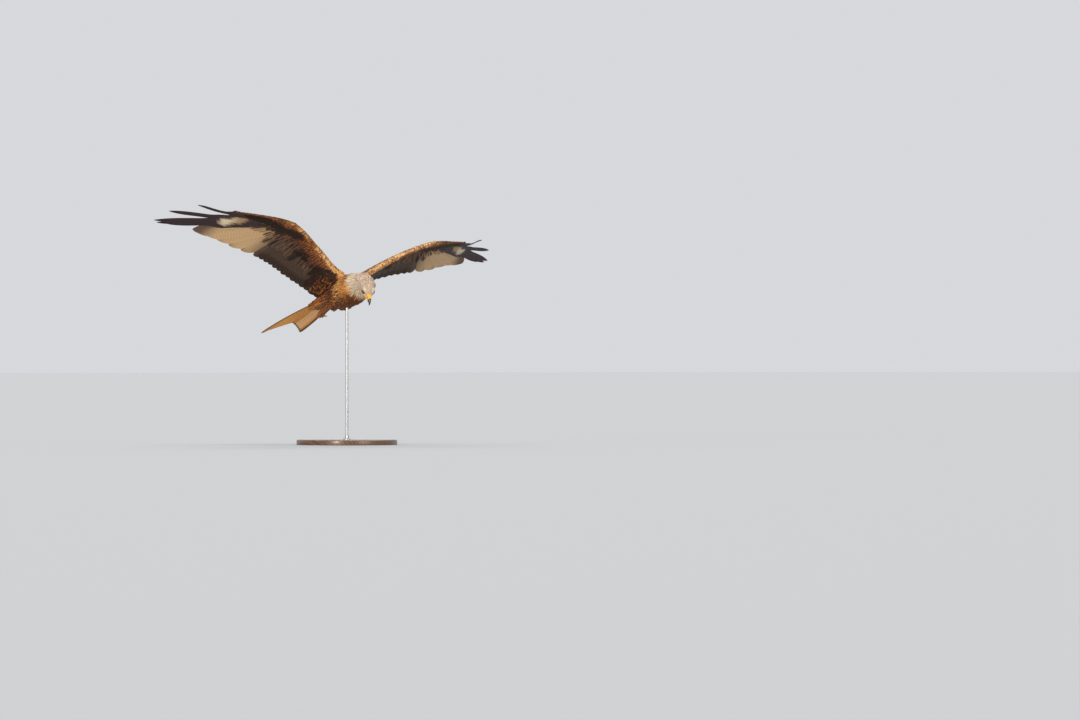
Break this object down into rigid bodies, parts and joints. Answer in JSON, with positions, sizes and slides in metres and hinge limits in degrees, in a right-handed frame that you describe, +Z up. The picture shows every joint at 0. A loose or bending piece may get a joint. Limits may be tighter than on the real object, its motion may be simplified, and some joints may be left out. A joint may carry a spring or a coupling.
{
  "type": "red kite",
  "caption": "Life-size red kite gliding with raised, bent wings, spread wingtips, a forked tail and the head looking down, held by one rod on a round wooden base.",
  "frame": {"origin": "centre of the stand base's underside, on the floor", "axes": "+Z up; the bird heads towards -Y, with its right wing towards -X"},
  "size_m": [1.4246, 0.7108, 0.9011],
  "materials": {
    "base": "satin",
    "rod": "satin",
    "head": "matte",
    "cere": "satin",
    "bill": "satin",
    "eye": "gloss",
    "trunk": "matte",
    "neck": "matte",
    "wing_arm": "matte",
    "wing_hand": "matte",
    "secondaries": "matte",
    "primaries_inner": "matte",
    "fingers": "matte",
    "tail": "matte",
    "thigh": "matte",
    "foot": "satin",
    "claw": "satin"
  },
  "bodies": {
    "root": {"stand_base": "base", "stand_rod": "rod", "head": "head", "cere": "cere", "bill_upper": "bill", "bill_lower": "bill", "eye_right": "eye", "eye_left": "eye", "trunk": "trunk", "neck": "neck", "wing_arm_right": "wing_arm", "wing_arm_left": "wing_arm", "wing_hand_right": "wing_hand", "wing_hand_left": "wing_hand", "secondaries_right": "secondaries", "secondaries_left": "secondaries", "primaries_inner_right": "primaries_inner", "primaries_inner_left": "primaries_inner", "tail_right": "tail", "tail_left": "tail", "thigh_right": "thigh", "thigh_left": "thigh", "foot_right": "foot", "foot_left": "foot", "primary_6_right": "fingers", "primary_6_left": "fingers", "primary_7_right": "fingers", "primary_7_left": "fingers", "primary_8_right": "fingers", "primary_8_left": "fingers", "primary_9_right": "fingers", "primary_9_left": "fingers", "primary_10_right": "fingers", "primary_10_left": "fingers", "claw_1_right": "claw", "claw_1_left": "claw", "claw_2_right": "claw", "claw_2_left": "claw", "claw_3_right": "claw", "claw_3_left": "claw", "claw_4_right": "claw", "claw_4_left": "claw"}
  },
  "joints": []
}
